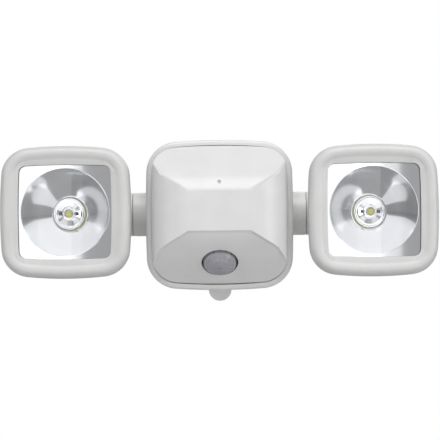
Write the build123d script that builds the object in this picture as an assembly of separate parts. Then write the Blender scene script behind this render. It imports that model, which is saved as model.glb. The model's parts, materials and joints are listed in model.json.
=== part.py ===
"""Battery security light: a square lamp body on a wall bracket, with two lamp heads on side elbows.

Millimetres. +Z is up and the light faces -Y. The wall is the plane Y = 0, and the origin is the middle
of the bracket's two screw holes on it. A "depth" is a distance out from the wall, so Y = -depth.
"""

from build123d import *
from math import asin, cos, radians, sin, sqrt, tan
import os

# ---- fits, walls and small screws ----
RUN = 0.05  # radial clearance of a shaft that turns in a bore
GAP = 0.3  # clearance of pieces that pass each other
WALL = 2.6  # moulded walls
SCREW_R = 1.5
SCREW_HEAD_R = 3.0
SCREW_HEAD_T = 2.2
DRIVE_R = 1.4  # hex socket in a screw's head
DRIVE_DEEP = 1.3

# ---- wall bracket ----
PLATE_W = 104.0
PLATE_H = 92.0
PLATE_T = 3.0
PLATE_CORNER = 14.0
PLATE_EDGE = 0.6
SCREW_SPACING = 56.0
SCREW_HOLE_R = 2.4
COUNTERSINK_R = 4.6
COUNTERSINK_DEEP = 2.0
HOOK_X = 45.0
HOOK_W = 5.0
HOOK_T = 3.0
HOOK_LIP = 4.5
HOOK_LIP_T = 2.4
HOOK_HEIGHTS = (29.5, -27.0)
LIFT = 8.0  # travel that frees the hooks

# ---- release tab, which shows under the body ----
TAB_W = 18.8
TAB_SHOWS = 9.65  # how far it reaches below the body
TAB_ROOT_Z = -33.5
TAB_T = 2.0
TAB_BACK = 2.4
KNUCKLE_R = 1.5
NOSE_W = 10.0
NOSE_H = 3.0
NOSE_UP = 5.85  # from the body's lower edge to the nose

# ---- lamp body ----
BACK = 7.0  # depth of the housing's back face
SEAM_ROOM = 1.4  # from the battery tub's end to the housing's front lip
FRONT_DEEP = 38.0  # from the lip to the front band
BODY_W = 115.4
BODY_H = 117.7
BODY_BULGE = (1.4, 3.4)  # of the upright sides, and of the top and bottom
BODY_CORNER = 24.6
BODY_DRAFT = 1.9  # how much each side draws in towards the back
BODY_BACK_EDGE = 5.0
LIP = 4.2  # width of the housing's lip, beside the front shell
LIP_EDGE = 2.6
LIP_DEEP = 6.0
LEDGE_W = 4.0
LEDGE_T = 3.0
SEAL_W = 2.0
SEAL_T = 1.7

# ---- front shell: a raised band that rolls back at its sides, between two sloping facets ----
BAND_Z = 2.0
BAND_HALF_H = 15.2
BAND_HALF_W = 24.0
BAND_STEP = 1.2  # the facets start this far behind the band
BAND_TURN = (12.35, 5.6)  # in from the shell's side, and back from the band
BAND_SIDE = (2.75, 17.6)
BAND_END_BACK = 29.5
CREASE_OUT = (21.2, 12.9)  # the band's edge fans out by this
CREASE_SIDE = (26.6, 21.2)
CREASE_END = (36.6, 36.6)
FACET_TURN = (12.9, 8.7)  # up from the band's edge, and back
FACET_ANGLE = 47.0

# ---- motion sensor in the lower facet ----
SENSOR_Z = -37.6
SENSOR_HOLE_R = 14.2
LENS_R = 12.6
LENS_PROUD = 1.0  # the dome starts this far outside the facet
LENS_DOME_H = 6.4
LENS_T = 1.0
LENS_FLANGE_R = 15.6
LENS_SEAL_T = 0.8
SOCKET_DEEP = 3.4
SOCKET_WALL = 1.7
CUP_DEEP = 7.6
CUP_END_R = 11.0
CUP_WALL = 1.4
SENSOR_BOARD_T = 1.2
SENSOR_CAN_R = 4.6
SENSOR_CAN_H = 4.2

# ---- light pipe in the upper facet ----
PIPE_Z = 23.9
PIPE_R = 1.3
PIPE_FIT = 0.1
PIPE_RECESS = 0.6
PIPE_FLANGE_R = 3.0
PIPE_FLANGE_T = 1.2
PIPE_BOSS_R = 3.8
PIPE_BOSS_IN = 20.0  # from the front band back to the sleeve's end

# ---- batteries ----
CELL_R = 17.1
CELL_L = 61.5
CELL_EDGE = 1.0
CELL_NUB_R = 4.75
CELL_NUB_L = 2.0
CELL_GAP = 0.25  # from each cell to the planes between the cells
CELL_START = 16.3
CONTACT_T = 0.8
CONTACT_W = 12.0
TUB_CLEAR = 0.35
TUB_WALL = 2.0
TUB_MOUTH_WALL = 4.6
TUB_MOUTH_DEEP = 10.0
TUB_RIB_T = 4.0
TUB_RIB_IN = 15.0
TUB_POST_R = 6.2
KEY_W = 5.0
SPRING_R = 6.5
SPRING_WIRE_R = 0.5
SPRING_TURNS = 3
CARRIER_T = 1.6

# ---- battery cap, held by a bayonet ----
CAP_BACK = 5.4
CAP_T = 3.2
CAP_R = 44.6
CAP_EDGE = 0.8
CAP_SEAL_T = 1.0
CAP_SEAL_W = 2.0
CAP_SKIRT_WALL = 2.4
LUG_ANGLES = (90, 210, 330)
LUG_OUT = 1.5
LUG_T = 2.0
LUG_ARC = 12.0
LUG_DEPTH = 12.0
LUG_PLAY = 4.0  # degrees
CAP_TURN = 30.0
GRIP_R = 27.0
GRIP_BAR = 7.0
GRIP_DEEP = 1.8
GRIP_CORNER = 2.0

# ---- main board ----
BOARD_W = 62.0
BOARD_H = 42.0
BOARD_Z = 12.0
BOARD_T = 1.6
BOARD_CORNER = 3.0
BOARD_POST = 3.2
BOARD_POST_R = 3.0
BOARD_HOLE_IN = 4.0
CHIP_W = 12.0
CHIP_T = 1.8
SIDE_PARTS_IN = 10.3  # from the board's side to its capacitors and plugs
CAPACITOR_R = 4.0
CAPACITOR_H = 10.0
PLUG_W = 9.0
PLUG_H = 6.0
PLUG_L = 7.0
PLUG_UP = 8.0  # from the board's lower edge
LIGHT_SENSOR_W = 3.2
LIGHT_SENSOR_T = 2.4

# ---- housing screws, in deep wells ----
WELL_IN = (24.7, 16.85)  # from the body's side, and from its top
WELL_R = 3.6
WELL_OUT_R = 5.2
WELL_SHORT = 10.0  # from the housing's front lip back to the wells' ends
WELL_END_T = 10.0
HOUSING_SCREW_L = 22.0
BOSS_R = 4.2
BOARD_SCREW_L = 4.6

# ---- arms ----
ARM_DEPTH = 44.0
ARM_Z = 2.0
ARM_R = 17.4
STUB_L = 10.8
NECK_R = 14.9
NECK_L = 8.3
PAD_R = 19.5
PAD_PROUD = 0.5  # how far the pad stands out of the body's side
PAD_T = 4.6
NUT_R = 18.4
NUT_T = 3.4
NUT_NOTCH = 3.0
SPIGOT_R = 13.0
SPIGOT_BORE_R = 8.0
SPIGOT_L = 22.1
CLIP_R = 15.4
CLIP_T = 1.5
CLIP_GROOVE = 1.0
FRICTION_RING_IN = 9.0  # from the stub's end to the ring's middle
FRICTION_RING_T = 1.6
COLLAR_L = 2.7
ARM_EDGE = 0.7
TAPER_L = 25.0
EYE_R = 13.5
TONGUE_H = 16.0
TONGUE_EDGE = 3.0
PIN_R = 3.0
EAR_T = 4.0
EAR_R = 14.0
BOLT_HEAD_R = 5.4
BOLT_HEAD_T = 3.0
PIVOT_NUT_R = 5.4
PIVOT_NUT_T = 3.2

# ---- lamp heads ----
HEAD_OUT = 49.4  # from the stub's end to the head's pivot
HEAD_W = 100.0
HEAD_H = 102.0
HEAD_BULGE = (2.5, 4.0)
HEAD_CORNER = 22.0
HEAD_FRONT = 112.0
HEAD_JOINT = 92.0
BEZEL_ROLL = 8.5
BEZEL_CAVITY = 9.0
BEVEL_W = 6.2
BEVEL_DEEP = 2.0
SHELL_INSET = 1.4
WAIST_DEPTH = 76.0
WAIST_INSET = 7.0
HEAD_BACK = 66.0
HEAD_BACK_W = 62.0
HEAD_BACK_BULGE = (1.0, 1.0)
HEAD_BACK_CORNER = 15.0
HEAD_BACK_EDGE = 3.0
WINDOW_W = 70.6
WINDOW_H = 71.3
WINDOW_BULGE = (0.8, 0.8)
WINDOW_CORNER = 5.0
WINDOW_FRONT = 109.2
WINDOW_T = 2.0
WINDOW_SEAT = 2.0
GASKET_T = 1.0
GASKET_W = 1.6
REFLECTOR_R = 33.7
NECK_HOLE_R = 6.0
REFLECTOR_T = 1.5
REFLECTOR_NECK_L = 0.6
LED_BASE_R = 4.8
LED_BASE_T = 0.8
LED_CHIP_W = 4.4
LED_CHIP_T = 0.4
LED_DOME_R = 3.6
LED_BOARD_R = 10.0
LED_BOARD_T = 1.6
SINK_R = 24.0
SINK_T = 2.8
FIN_COUNT = 12
FIN_T = 1.6
FIN_H = 4.0
FIN_IN = 14.0
HEAD_SCREW_IN = (12.8, 13.8)  # from the head's side, and from its top
HEAD_SCREW_L = 16.0
HEAD_LUG_R = 5.0
HEAD_LUG_BACK = 76.0
HEAD_SCREW_SEAT = 85.0
HEAD_BOSS_R = 3.6

PARTS = "parts"


# ---- helpers ----
def at(depth, x=0.0, z=0.0):
    """Sketch plane at a depth, seen from the front: its x is X and its y is Z."""
    return Plane(origin=(x, -depth, z), x_dir=(1, 0, 0), z_dir=(0, -1, 0))


def rod(radius, back, front, x=0.0, z=0.0):
    """Cylinder along the depth, from one depth to another."""
    return extrude(at(back, x, z) * Circle(radius), front - back)


def tube(outer, inner, back, front, x=0.0, z=0.0):
    return extrude(at(back, x, z) * (Circle(outer) - Circle(inner)), front - back)


def arm_plane(x):
    """Sketch plane across the right arm: its x is Y and its y is Z."""
    return Plane(origin=(x, -ARM_DEPTH, ARM_Z), x_dir=(0, 1, 0), z_dir=(1, 0, 0))


def arm_rod(radius, start, end):
    """Cylinder along the right arm's axis, from one X to another."""
    return extrude(arm_plane(start) * Circle(radius), end - start)


def upright(sketch, low, high):
    """Prism along Z about the right head's pivot."""
    return extrude(Plane(origin=(head_x(), -ARM_DEPTH, low)) * sketch, high - low)


def pad_out():
    """X of the pad's face, on the body's right side."""
    return BODY_W / 2 + PAD_PROUD


def pad_in():
    return pad_out() - PAD_T


def neck_end():
    return pad_out() - NECK_L


def stub_end():
    return pad_out() + STUB_L


def head_x():
    return stub_end() + HEAD_OUT


def brick(x0, x1, back, front, z0, z1):
    """Box between two X values, two depths and two heights."""
    centre = ((x0 + x1) / 2, -(back + front) / 2, (z0 + z1) / 2)
    return Pos(*centre) * Box(x1 - x0, front - back, z1 - z0)


def bulged(width, height, bulge, corner, inset=0.0):
    """Rectangle with shallow arcs for sides and round corners, drawn in by an inset."""
    w, h = width / 2 - inset, height / 2 - inset
    x, y = w - bulge[0], h - bulge[1]
    corners = [(x, y), (-x, y), (-x, -y), (x, -y)]
    middles = [(0, h), (-w, 0), (0, -h), (w, 0)]
    sides = [ThreePointArc(corners[i], middles[i], corners[(i + 1) % 4]) for i in range(4)]
    return fillet(make_face(sides).vertices(), corner - inset)


def ring_sector(outer, inner, back, front, middle, arc):
    """Part of a ring round the depth axis; middle and arc are degrees, from +X towards +Z."""
    ends = [radians(middle - arc / 2), radians(middle + arc / 2)]
    far = [(2 * outer * cos(a), 2 * outer * sin(a)) for a in ends]
    pie = Polygon((0, 0), *far, align=None)
    return extrude(at(back) * ((Circle(outer) - Circle(inner)) & pie), front - back)


def screw(seat, length, x, z):
    """Small screw driven from the back; its head lies behind the seat."""
    shank = rod(SCREW_R, seat, seat + length, x, z)
    head = rod(SCREW_HEAD_R, seat - SCREW_HEAD_T, seat, x, z)
    drive = extrude(at(seat - SCREW_HEAD_T, x, z) * RegularPolygon(DRIVE_R, 6), DRIVE_DEEP)
    return shank + head - drive


def four(x, z, centre_x=0.0, centre_z=0.0):
    return [(centre_x + sx * x, centre_z + sz * z) for sx in (-1, 1) for sz in (-1, 1)]


def both_sides(solid):
    return solid + mirror(solid, Plane.YZ)


def save(name, *shapes):
    """Writes a node: one solid, or a group of separate ones."""
    solids = [solid for shape in shapes for solid in shape.solids()]
    node = solids[0] if len(solids) == 1 else Compound(children=solids)
    export_step(node, f"{PARTS}/{name}.step")


def save_pair(name, *shapes):
    """Writes the right-hand node, and its mirror image for the left."""
    save(f"right_{name}", *shapes)
    save(f"left_{name}", *[mirror(shape, Plane.YZ) for shape in shapes])


# ---- wall bracket ----
def mounting_plate():
    plate = extrude(at(0) * RectangleRounded(PLATE_W, PLATE_H, PLATE_CORNER), PLATE_T)
    plate = chamfer(plate.faces().sort_by(Axis.Y)[0].edges(), PLATE_EDGE)
    for x in (-SCREW_SPACING / 2, SCREW_SPACING / 2):
        plate -= rod(SCREW_HOLE_R, -1, PLATE_T + 1, x)
        cone = Cone(COUNTERSINK_R, SCREW_HOLE_R, COUNTERSINK_DEEP)
        plate -= Pos(x, COUNTERSINK_DEEP / 2 - PLATE_T, 0) * Rot(-90, 0, 0) * cone
    half = TAB_W / 2 + 2 * GAP
    plate -= brick(-half, half, -1, PLATE_T + 1, -PLATE_H, TAB_ROOT_Z)
    plate -= Pos(0, -tab_axis_depth(), TAB_ROOT_Z) * Rot(0, 90, 0) * Cylinder(KNUCKLE_R + GAP / 2, 2 * half)
    for height in HOOK_HEIGHTS:
        plate += both_sides(hook(height))
    return plate


def hook(height):
    """Arm through the housing's back wall, with a lip that stands up behind the wall."""
    x0, x1 = HOOK_X - HOOK_W / 2, HOOK_X + HOOK_W / 2
    lip_back = BACK + WALL + GAP
    lip_front = lip_back + HOOK_LIP_T
    top = height + HOOK_T / 2
    lip = brick(x0, x1, lip_back, lip_front, height, top + HOOK_LIP)
    lip = chamfer(lip.edges().filter_by(Axis.X).group_by(Axis.Z)[-1], HOOK_LIP_T / 3)
    return lip + brick(x0, x1, PLATE_T / 2, lip_front, top - HOOK_T, top)


def tab_axis_depth():
    return PLATE_T / 2 + GAP


def release_tab():
    """Springy leaf of the bracket, with a finger tab below the body and a nose that bears on the housing."""
    end = -BODY_H / 2 - TAB_SHOWS + TAB_W / 2
    leaf = Rectangle(TAB_W, TAB_ROOT_Z - end, align=(Align.CENTER, Align.MIN)) + Circle(TAB_W / 2)
    tab = extrude(at(TAB_BACK, 0, end) * leaf, TAB_T)
    tab += Pos(0, -tab_axis_depth(), TAB_ROOT_Z) * Rot(0, 90, 0) * Cylinder(KNUCKLE_R, TAB_W)
    low = NOSE_UP - BODY_H / 2
    nose = brick(-NOSE_W / 2, NOSE_W / 2, TAB_BACK + TAB_T / 2, BACK - GAP, low, low + NOSE_H)
    return tab + chamfer(nose.edges().filter_by(Axis.X).sort_by(Axis.Y)[:2], TAB_T / 2)


# ---- battery space ----
def cell_centre():
    return CELL_R + CELL_GAP


def cell_places():
    return four(cell_centre(), cell_centre())


def tub_radius():
    return cell_centre() * sqrt(2) + CELL_R + TUB_CLEAR


def tub_floor():
    return CELL_START + CELL_L + CONTACT_T


def tub_end():
    return tub_floor() + TUB_WALL


def seam():
    """Depth of the housing's front lip."""
    return tub_end() + SEAM_ROOM


def ridge():
    """Depth of the front band."""
    return seam() + FRONT_DEEP


def cap_front():
    return CAP_BACK + CAP_T


def cap_ledge():
    return cap_front() + CAP_SEAL_T + RUN


def skirt_radius():
    return tub_radius() - GAP


def carrier_front():
    return cap_front() + GAP + CARRIER_T


def tub_walls():
    """Outside of the battery tub, which is moulded in one with the rear housing."""
    start = BACK + WALL / 2
    walls = rod(tub_radius() + TUB_WALL, start, tub_end())
    return walls + rod(tub_radius() + TUB_MOUTH_WALL, start, BACK + TUB_MOUTH_DEEP)


def tub_hollow():
    """The tub's bore and the cap's recess, with the bayonet's slots and grooves."""
    hollow = rod(tub_radius(), BACK - 1, tub_floor())
    hollow += rod(CAP_R + GAP, BACK - 1, cap_ledge())
    reach = skirt_radius() + LUG_OUT + GAP
    inner = tub_radius() - 1
    lug_end = LUG_DEPTH + LUG_T + GAP
    for angle in LUG_ANGLES:
        hollow += ring_sector(reach, inner, BACK, lug_end, angle - CAP_TURN, LUG_ARC + LUG_PLAY)
        sweep_arc = CAP_TURN + LUG_ARC + LUG_PLAY
        hollow += ring_sector(reach, inner, LUG_DEPTH - GAP, lug_end, angle - CAP_TURN / 2, sweep_arc)
    return hollow


def tub_inside():
    """Ribs between the cells, and the middle post with the key that keeps the contact carrier still."""
    radius = tub_radius()
    front = tub_floor() + TUB_WALL / 2
    half = TUB_RIB_T / 2
    rib = brick(radius - TUB_RIB_IN, radius + TUB_WALL / 2, CELL_START, front, -half, half)
    inside = rod(TUB_POST_R, CELL_START, front)
    inside += brick(-KEY_W / 2, KEY_W / 2, cap_front() + GAP, front, -KEY_W / 2, KEY_W / 2)
    for quarter in range(4):
        inside += Rot(0, 90 * quarter, 0) * rib
    return inside


def battery_cap():
    cap = rod(CAP_R, CAP_BACK, cap_front())
    cap = chamfer(cap.edges().group_by(Axis.Y)[-1], CAP_EDGE)
    outer = skirt_radius()
    lug_front = LUG_DEPTH + LUG_T
    cap += tube(outer, outer - CAP_SKIRT_WALL, CAP_BACK + CAP_T / 2, lug_front)
    for angle in LUG_ANGLES:
        cap += ring_sector(outer + LUG_OUT, outer - CAP_SKIRT_WALL / 2, LUG_DEPTH, lug_front, angle, LUG_ARC)
    grip = Circle(GRIP_R) - Rectangle(GRIP_BAR, 2 * GRIP_R)
    cap -= extrude(at(CAP_BACK) * fillet(grip.vertices(), GRIP_CORNER), GRIP_DEEP)
    return cap


def cap_seal():
    return tube(CAP_R, CAP_R - CAP_SEAL_W, cap_front(), cap_front() + CAP_SEAL_T)


def contact_carrier():
    """Disc inside the cap's skirt that carries the springs and does not turn with the cap."""
    disc = rod(skirt_radius() - CAP_SKIRT_WALL - GAP, cap_front() + GAP, carrier_front())
    half = KEY_W / 2 + GAP
    return disc - brick(-half, half, BACK, carrier_front() + 1, -half, half)


def contact_spring(x, z):
    """Coil from the carrier to a cell's flat end."""
    height = CELL_START - carrier_front() - 2 * SPRING_WIRE_R
    path = Helix(height / SPRING_TURNS, height, SPRING_R)
    wire = Plane(origin=path @ 0, z_dir=path % 0) * RegularPolygon(SPRING_WIRE_R, 4)
    return at(carrier_front() + SPRING_WIRE_R, x, z) * sweep(wire, path=path, is_frenet=True)


def cell(x, z):
    """Round cell with its nub towards the front."""
    can_end = CELL_START + CELL_L - CELL_NUB_L
    can = rod(CELL_R, CELL_START, can_end, x, z)
    return chamfer(can.edges(), CELL_EDGE) + rod(CELL_NUB_R, can_end - CELL_EDGE, CELL_START + CELL_L, x, z)


def cell_contact(x):
    """Strip that joins two cells at the tub's floor."""
    half_l = cell_centre() + 2 * CELL_NUB_R
    half_w = CONTACT_W / 2
    return brick(x - half_w, x + half_w, tub_floor() - CONTACT_T, tub_floor(), -half_l, half_l)


# ---- rear housing ----
def body_outline(depth, inset=0.0):
    """The housing's outside at a depth; it draws in towards the back."""
    draft = BODY_DRAFT * (seam() - depth) / (seam() - BACK)
    return at(depth) * bulged(BODY_W, BODY_H, BODY_BULGE, BODY_CORNER, inset + draft)


def shell_outline(depth, inset=0.0):
    """The front shell's outside at a depth, inside the housing's lip."""
    return at(depth) * bulged(BODY_W, BODY_H, BODY_BULGE, BODY_CORNER, LIP + GAP / 2 + inset)


def ledge_front():
    return seam() - LIP_DEEP


def housing_shell():
    shell = loft([body_outline(seam()), body_outline(BACK)], ruled=True)
    shell = fillet(shell.faces().sort_by(Axis.Y)[-1].edges(), BODY_BACK_EDGE)
    shell = fillet(shell.faces().sort_by(Axis.Y)[0].edges(), LIP_EDGE)
    ledge_back = ledge_front() - LEDGE_T
    shell -= loft([body_outline(BACK + WALL, WALL), body_outline(ledge_back, WALL)], ruled=True)
    shell -= extrude(shell_outline(ledge_back - 1, LEDGE_W), LEDGE_T + 2)
    shell -= extrude(shell_outline(ledge_front(), -GAP / 2), LIP_DEEP + 1)
    return shell


def well_places():
    return four(BODY_W / 2 - WELL_IN[0], BODY_H / 2 - WELL_IN[1])


def well_end():
    return seam() - WELL_SHORT


def well_floor():
    return well_end() - WELL_END_T


def board_places():
    return four(BOARD_W / 2 - BOARD_HOLE_IN, BOARD_H / 2 - BOARD_HOLE_IN, 0, BOARD_Z)


def rear_housing():
    inner_wall = BACK + WALL / 2
    body = housing_shell() + both_sides(arm_rod(PAD_R, pad_in(), pad_out()))
    for x, z in well_places():
        body += rod(WELL_OUT_R, inner_wall, well_end(), x, z)
    body = body + tub_walls() - tub_hollow() + tub_inside()
    for x, z in board_places():
        body += rod(BOARD_POST_R, tub_floor() + TUB_WALL / 2, tub_end() + BOARD_POST, x, z)
        body -= rod(SCREW_R, tub_end(), tub_end() + BOARD_POST + 1, x, z)
    body -= both_sides(arm_rod(NECK_R + RUN, pad_in() - 1, pad_out() + 1))
    for x, z in well_places():
        body -= rod(WELL_R, BACK - 1, well_floor(), x, z)
        body -= rod(SCREW_R + GAP / 2, well_floor() - 1, well_end() + 1, x, z)
    for height in HOOK_HEIGHTS:
        body -= both_sides(hook_slot(height))
    return body


def hook_slot(height):
    half = HOOK_W / 2 + GAP
    top = height + HOOK_T / 2 + RUN
    bottom = top - HOOK_T - LIFT - 2 * GAP
    return brick(HOOK_X - half, HOOK_X + half, BACK - 1, BACK + WALL + 1, bottom, top)


def housing_seal():
    back = ledge_front()
    ring = shell_outline(back, GAP) - shell_outline(back, GAP + SEAL_W)
    return extrude(ring, SEAL_T)


# ---- front shell ----
def drawn_in(face, inset):
    return offset(face, -inset, kind=Kind.INTERSECTION) if inset else face


def band_face():
    """Section of the band from side to side, in X and Y."""
    side = BODY_W / 2 - LIP - GAP / 2
    turn = (side - BAND_TURN[0], BAND_TURN[1] - ridge())
    edge = (side - BAND_SIDE[0], BAND_SIDE[1] - ridge())
    front = Line((0, -ridge()), (BAND_HALF_W, -ridge()))
    roll = TangentArc(front @ 1, turn, tangent=(1, 0))
    corner = TangentArc(roll @ 1, edge, tangent=roll % 1)
    flank = TangentArc(corner @ 1, (side, BAND_END_BACK - ridge()), tangent=corner % 1)
    skirt = Line(flank @ 1, (side, -BACK))
    floor = Line(skirt @ 1, (0, -BACK))
    half = make_face([front, roll, corner, flank, skirt, floor, Line((0, -BACK), (0, -ridge()))])
    return half + mirror(half, Plane.YZ)


def facet_back(beyond):
    """How far a facet lies behind the band, at a height beyond the band's edge and past the facet's turn."""
    return BAND_STEP + FACET_TURN[1] + (beyond - FACET_TURN[0]) * tan(radians(FACET_ANGLE))


def facet_face():
    """Section of the two facets, in Y and Z about the band's middle height."""
    crest_y = BAND_STEP - ridge()
    slope = radians(FACET_ANGLE)
    front = Line((crest_y, 0), (crest_y, BAND_HALF_H))
    turn = (crest_y + FACET_TURN[1], BAND_HALF_H + FACET_TURN[0])
    roll = TangentArc(turn, front @ 1, tangent=(-sin(slope), -cos(slope)))
    end = (turn[0] + BODY_H * sin(slope), turn[1] + BODY_H * cos(slope))
    slant = Line(turn, end)
    half = make_face([front, roll, slant, Line(end, (end[0], 0)), Line((end[0], 0), (crest_y, 0))])
    return half + mirror(half, Plane.XZ)


def banded_block(start, inset=0.0):
    """The front shell's outline from a depth forward, under the band's surface."""
    block = extrude(shell_outline(start, inset), ridge() - start)
    return block & extrude(drawn_in(band_face(), inset), BODY_H, both=True)


def facet_block(inset=0.0):
    return Pos(0, 0, BAND_Z) * extrude(Plane.YZ * drawn_in(facet_face(), inset), BODY_W, both=True)


def band_ribbon():
    """Front view of the raised band: level in the middle, fanning out to the shell's corners."""
    right = [(BAND_HALF_W, BAND_HALF_H)]
    for out, up in (CREASE_OUT, CREASE_SIDE, CREASE_END):
        right.append((BAND_HALF_W + out, BAND_HALF_H + up))
    right = right + [(x, -z) for x, z in reversed(right)]
    outline = right + [(-x, z) for x, z in reversed(right)]
    return extrude(at(0, 0, BAND_Z) * Polygon(*outline, align=None), 2 * ridge(), both=True)


def sleeve_back():
    return ridge() - PIPE_BOSS_IN


def front_shell_form():
    """The front shell's outside, as a solid block."""
    block = banded_block(ledge_front() + SEAL_T)
    return block & (facet_block() + band_ribbon())


def front_shell():
    """Thin shell with screw bosses, a round socket behind the sensor's hole and the light pipe's sleeve."""
    hollow = banded_block(BACK, WALL) & facet_block(WALL)
    socket_r = LENS_FLANGE_R + GAP
    for x, z in well_places():
        hollow -= rod(BOSS_R, well_end() + GAP, ridge(), x, z)
    hollow -= sensor_plane() * tube_along(socket_r + SOCKET_WALL, -WALL - SOCKET_DEEP, WALL, socket_r)
    hollow -= rod(PIPE_BOSS_R, sleeve_back(), ridge(), 0, PIPE_Z)
    shell = front_shell_form() - hollow
    for x, z in well_places():
        shell += rod(BOSS_R, well_end() + GAP, seam(), x, z)
        shell -= rod(SCREW_R, well_end(), well_floor() + HOUSING_SCREW_L + 1, x, z)
    shell -= sensor_plane() * tube_along(SENSOR_HOLE_R, -2 * WALL, 2 * WALL)
    return shell - rod(PIPE_R + PIPE_FIT, sleeve_back() - 1, ridge(), 0, PIPE_Z)


# ---- motion sensor ----
def sensor_plane():
    """Plane on the lower facet's face: its z points out of the facet and its y up the slope."""
    slope = radians(FACET_ANGLE)
    back = facet_back(BAND_Z - SENSOR_Z - BAND_HALF_H)
    normal = (0, -cos(slope), -sin(slope))
    return Plane(origin=(0, back - ridge(), SENSOR_Z), x_dir=(1, 0, 0), z_dir=normal)


def tube_along(radius, low, high, inner=0.0):
    """Cylinder or tube along the sensor's own axis."""
    ring = Circle(radius) - Circle(inner) if inner else Circle(radius)
    return extrude(Plane.XY.offset(low) * ring, high - low)


def dome_points(radius, height, base):
    """Edge, shoulder and top of a round dome, as radius and height."""
    ball = (radius**2 + height**2) / (2 * height)
    half = asin(radius / ball) / 2
    centre = base + height - ball
    return [(radius, base), (ball * sin(half), centre + ball * cos(half)), (0, base + height)]


def sensor_lens():
    """Thin dome on a skirt, with a flange behind the facet."""
    flange = -WALL - LENS_SEAL_T
    outer = dome_points(LENS_R, LENS_DOME_H, LENS_PROUD)
    inner = dome_points(LENS_R - LENS_T, LENS_DOME_H - LENS_T, LENS_PROUD)
    path = [(inner[0][0], flange - LENS_T), (LENS_FLANGE_R, flange - LENS_T), (LENS_FLANGE_R, flange)]
    path.append((LENS_R, flange))
    edges = [Line(a, b) for a, b in zip(path, path[1:])]
    edges.append(Line(path[-1], outer[0]))
    edges.append(ThreePointArc(*outer))
    edges.append(Line(outer[-1], inner[-1]))
    edges.append(ThreePointArc(*reversed(inner)))
    edges.append(Line(inner[0], path[0]))
    return sensor_plane() * revolve(Plane.XZ * make_face(edges), Axis.Z)


def lens_seal():
    return sensor_plane() * tube_along(LENS_FLANGE_R, -WALL - LENS_SEAL_T, -WALL, LENS_R + GAP)


def cup_front():
    return -WALL - LENS_SEAL_T - LENS_T


def sensor_cup():
    """Tapered cup behind the lens; its floor carries the sensor's board."""
    front, back = cup_front(), cup_front() - CUP_DEEP
    outer = [(0, back), (CUP_END_R, back), (LENS_FLANGE_R, front)]
    inner = [(LENS_FLANGE_R - CUP_WALL, front), (CUP_END_R - CUP_WALL, back + CUP_WALL), (0, back + CUP_WALL)]
    face = Plane.XZ * Polygon(*outer, *inner, align=None)
    return sensor_plane() * revolve(face, Axis.Z)


def sensor_board():
    low = cup_front() - CUP_DEEP + CUP_WALL
    return sensor_plane() * tube_along(CUP_END_R - CUP_WALL - GAP, low, low + SENSOR_BOARD_T)


def sensor_can():
    low = cup_front() - CUP_DEEP + CUP_WALL + SENSOR_BOARD_T
    return sensor_plane() * tube_along(SENSOR_CAN_R, low, low + SENSOR_CAN_H)


# ---- main board and light pipe ----
def board_back():
    return tub_end() + BOARD_POST


def board_front():
    return board_back() + BOARD_T


def main_board():
    """Board on the tub's floor, with its chip, capacitors, plugs and light sensor."""
    outline = RectangleRounded(BOARD_W, BOARD_H, BOARD_CORNER)
    board = extrude(at(board_back(), 0, BOARD_Z) * outline, BOARD_T)
    for x, z in board_places():
        board -= rod(SCREW_R + GAP / 2, 0, ridge(), x, z)
    half = CHIP_W / 2
    front = board_front()
    board += brick(-half, half, front, front + CHIP_T, BOARD_Z - CHIP_W, BOARD_Z)
    x = BOARD_W / 2 - SIDE_PARTS_IN
    low = BOARD_Z - BOARD_H / 2 + PLUG_UP
    board += both_sides(rod(CAPACITOR_R, front, front + CAPACITOR_H, x, BOARD_Z))
    board += both_sides(brick(x - PLUG_W / 2, x + PLUG_W / 2, front, front + PLUG_H, low, low + PLUG_L))
    half = LIGHT_SENSOR_W / 2
    return board + brick(-half, half, front, front + LIGHT_SENSOR_T, PIPE_Z - half, PIPE_Z + half)


def light_pipe():
    """Clear rod that leads daylight from the facet to the sensor on the board."""
    pipe = rod(PIPE_R, board_front() + LIGHT_SENSOR_T + GAP, ridge(), 0, PIPE_Z)
    flange = rod(PIPE_FLANGE_R, sleeve_back() - PIPE_FLANGE_T, sleeve_back(), 0, PIPE_Z)
    return (pipe & facet_block(PIPE_RECESS)) + flange


# ---- arms, drawn for the right-hand side ----
def arm_stub():
    """Fixed stub: a flanged tube through the housing's side wall."""
    stub = arm_rod(ARM_R, pad_out(), stub_end())
    stub = fillet(stub.edges().sort_by(Axis.X)[-1], ARM_EDGE)
    stub += arm_rod(NECK_R, neck_end(), pad_out() + 1)
    return stub - arm_rod(SPIGOT_R + RUN, neck_end() - 1, stub_end() + 1)


def stub_nut():
    """Ring nut on the stub's neck, inside the housing, with notches for its spanner."""
    nut = arm_rod(NUT_R, pad_in() - NUT_T, pad_in()) - arm_rod(NECK_R, neck_end(), pad_in() + 1)
    for turn in range(6):
        notch = Pos(NUT_R, 0, 0) * Box(NUT_NOTCH, NUT_NOTCH, 3 * NUT_T)
        nut -= arm_plane(pad_in()) * Rot(0, 0, 60 * turn) * notch
    return nut


def elbow_start():
    return stub_end() + GAP


def spigot_end():
    return elbow_start() - SPIGOT_L


def taper_end():
    return elbow_start() + COLLAR_L + TAPER_L


def ring_middle():
    return stub_end() - FRICTION_RING_IN


def groove(radius, start, end):
    """What a groove cut down to a radius takes off the spigot."""
    return arm_rod(SPIGOT_R + 1, start, end) - arm_rod(radius, start, end)


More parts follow.
